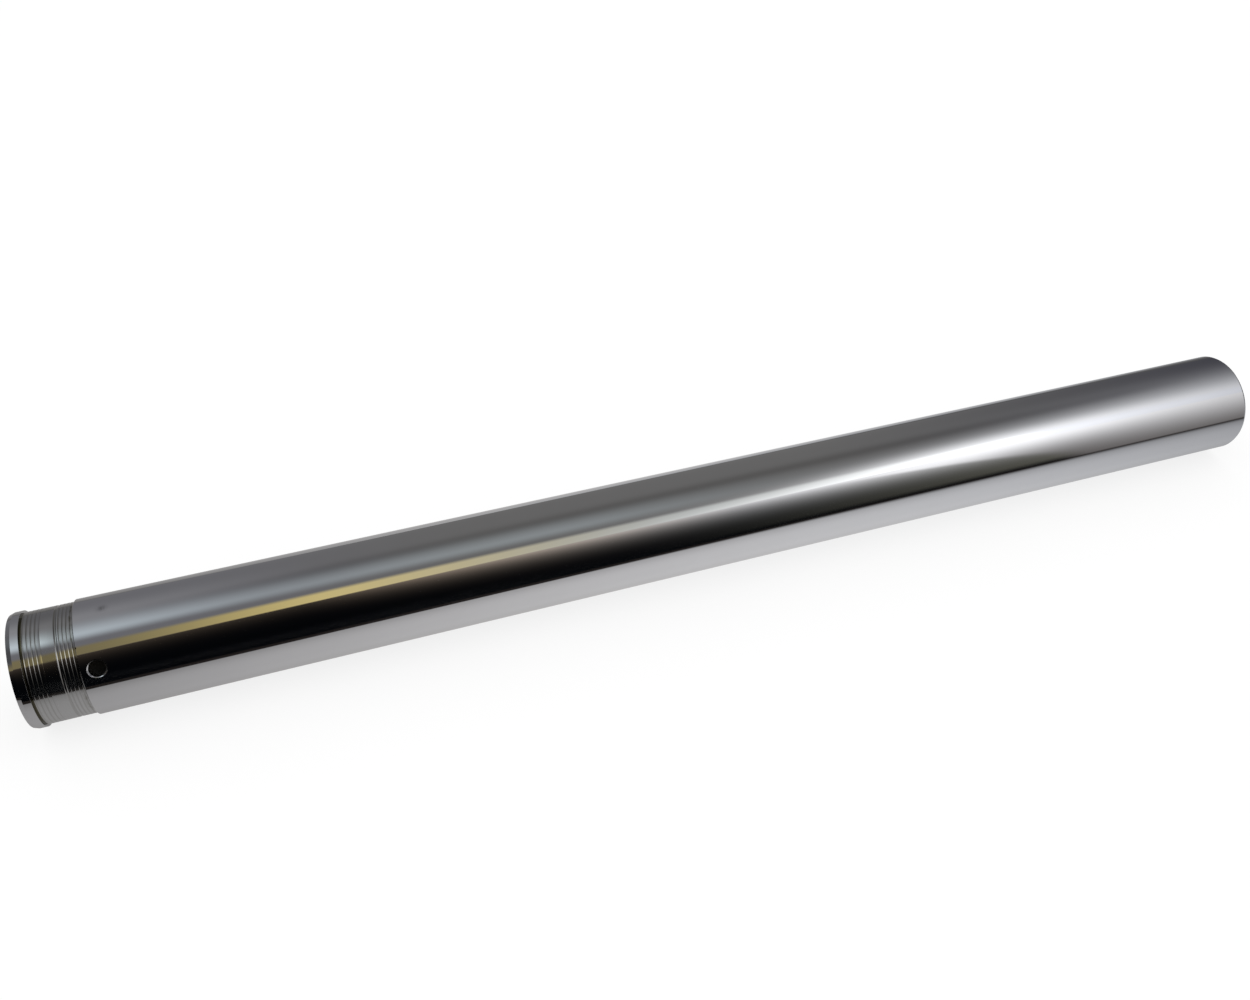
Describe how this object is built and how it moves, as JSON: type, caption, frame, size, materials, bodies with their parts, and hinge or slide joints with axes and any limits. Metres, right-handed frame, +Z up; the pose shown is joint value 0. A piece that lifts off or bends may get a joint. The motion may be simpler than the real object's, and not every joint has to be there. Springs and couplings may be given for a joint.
{
  "type": "fork tube",
  "caption": "Inner tube of a telescopic motorcycle fork leg: ground hard-chrome outside, grooved bush seat with end lip and oil hole at the lower end, threaded bore at the upper end.",
  "frame": {"origin": "centre of the bounding box's bottom: under the middle of the tube, on the line where it lies on the floor", "axes": "+X along the tube towards the upper end, which takes the fork cap; the lower end with the bush seat points to -X; +Z up; the oil hole faces -Y, 30 degrees above the horizontal"},
  "size_m": [0.52, 0.0428, 0.043],
  "materials": {
    "hard_chrome": "ground and hard-chromed steel, mirror-bright, with a fine turned finish on the bush seat and a honed bore"
  },
  "bodies": {
    "root": {"fork_tube": "hard_chrome"}
  },
  "joints": []
}
